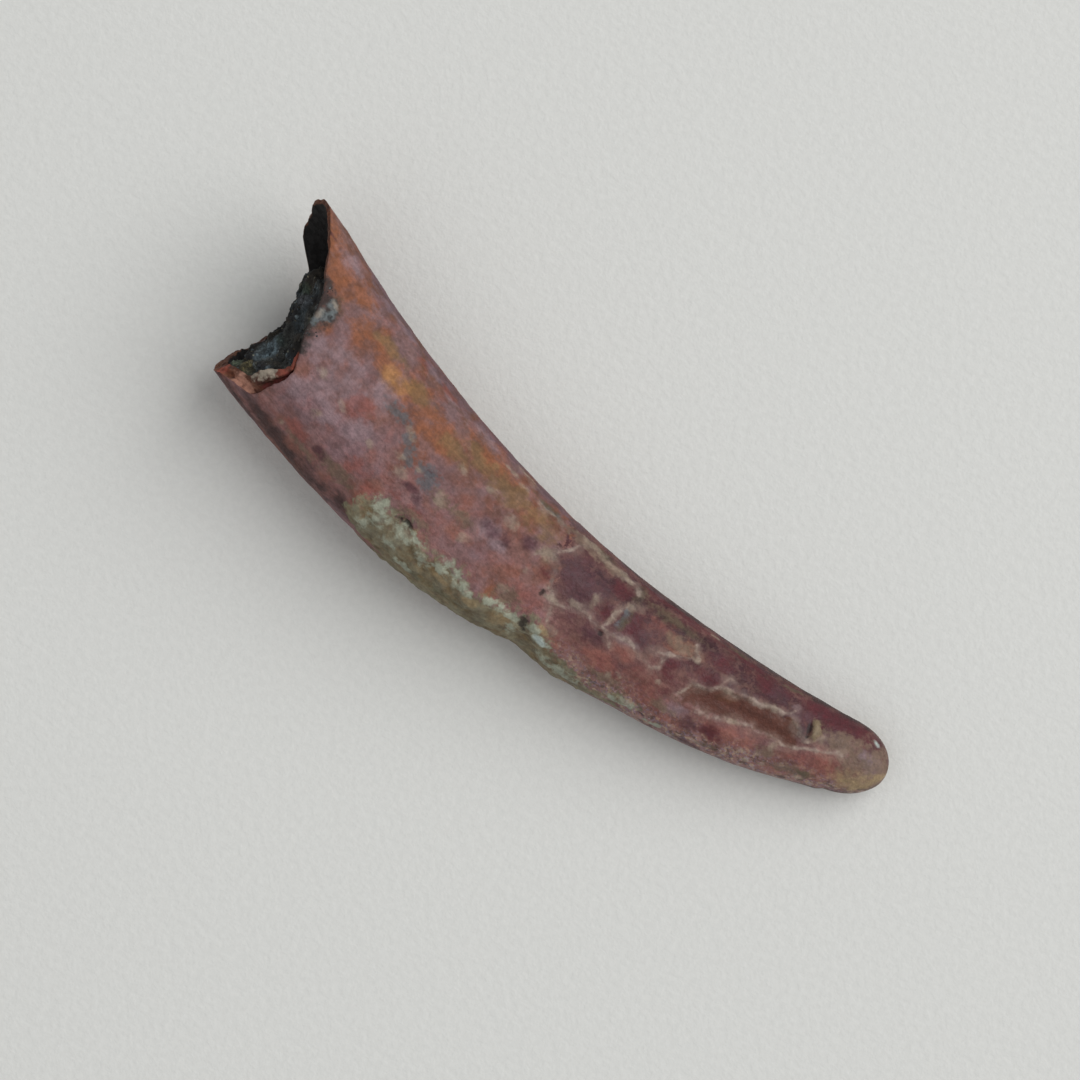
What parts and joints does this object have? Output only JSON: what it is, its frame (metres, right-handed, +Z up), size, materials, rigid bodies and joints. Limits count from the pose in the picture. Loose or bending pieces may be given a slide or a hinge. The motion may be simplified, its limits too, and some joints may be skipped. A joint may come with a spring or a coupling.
{
  "type": "fossil pterosaur tooth",
  "caption": "Long, gently curved conical fossil tooth lying on its side, with a rounded tip and a broken, hollow root filled with cemented sand.",
  "frame": {"origin": "on the surface that the tooth lies on, under the middle of its bounding box", "axes": "+X from the root to the tip along the chord of the curve, +Y the hollow side of the curve, +Z up, square to the surface it lies on"},
  "size_m": [0.0382, 0.012, 0.0075],
  "materials": {
    "fossil_dentine_and_enamel": "mineral-stained dentine at the root, satin enamel on the crown, thin pale crust along the bulging side",
    "cemented_sand": "matte dark grey sand grains cemented together"
  },
  "bodies": {
    "root": {"tooth": "fossil_dentine_and_enamel", "sand_fill": "cemented_sand"}
  },
  "joints": []
}
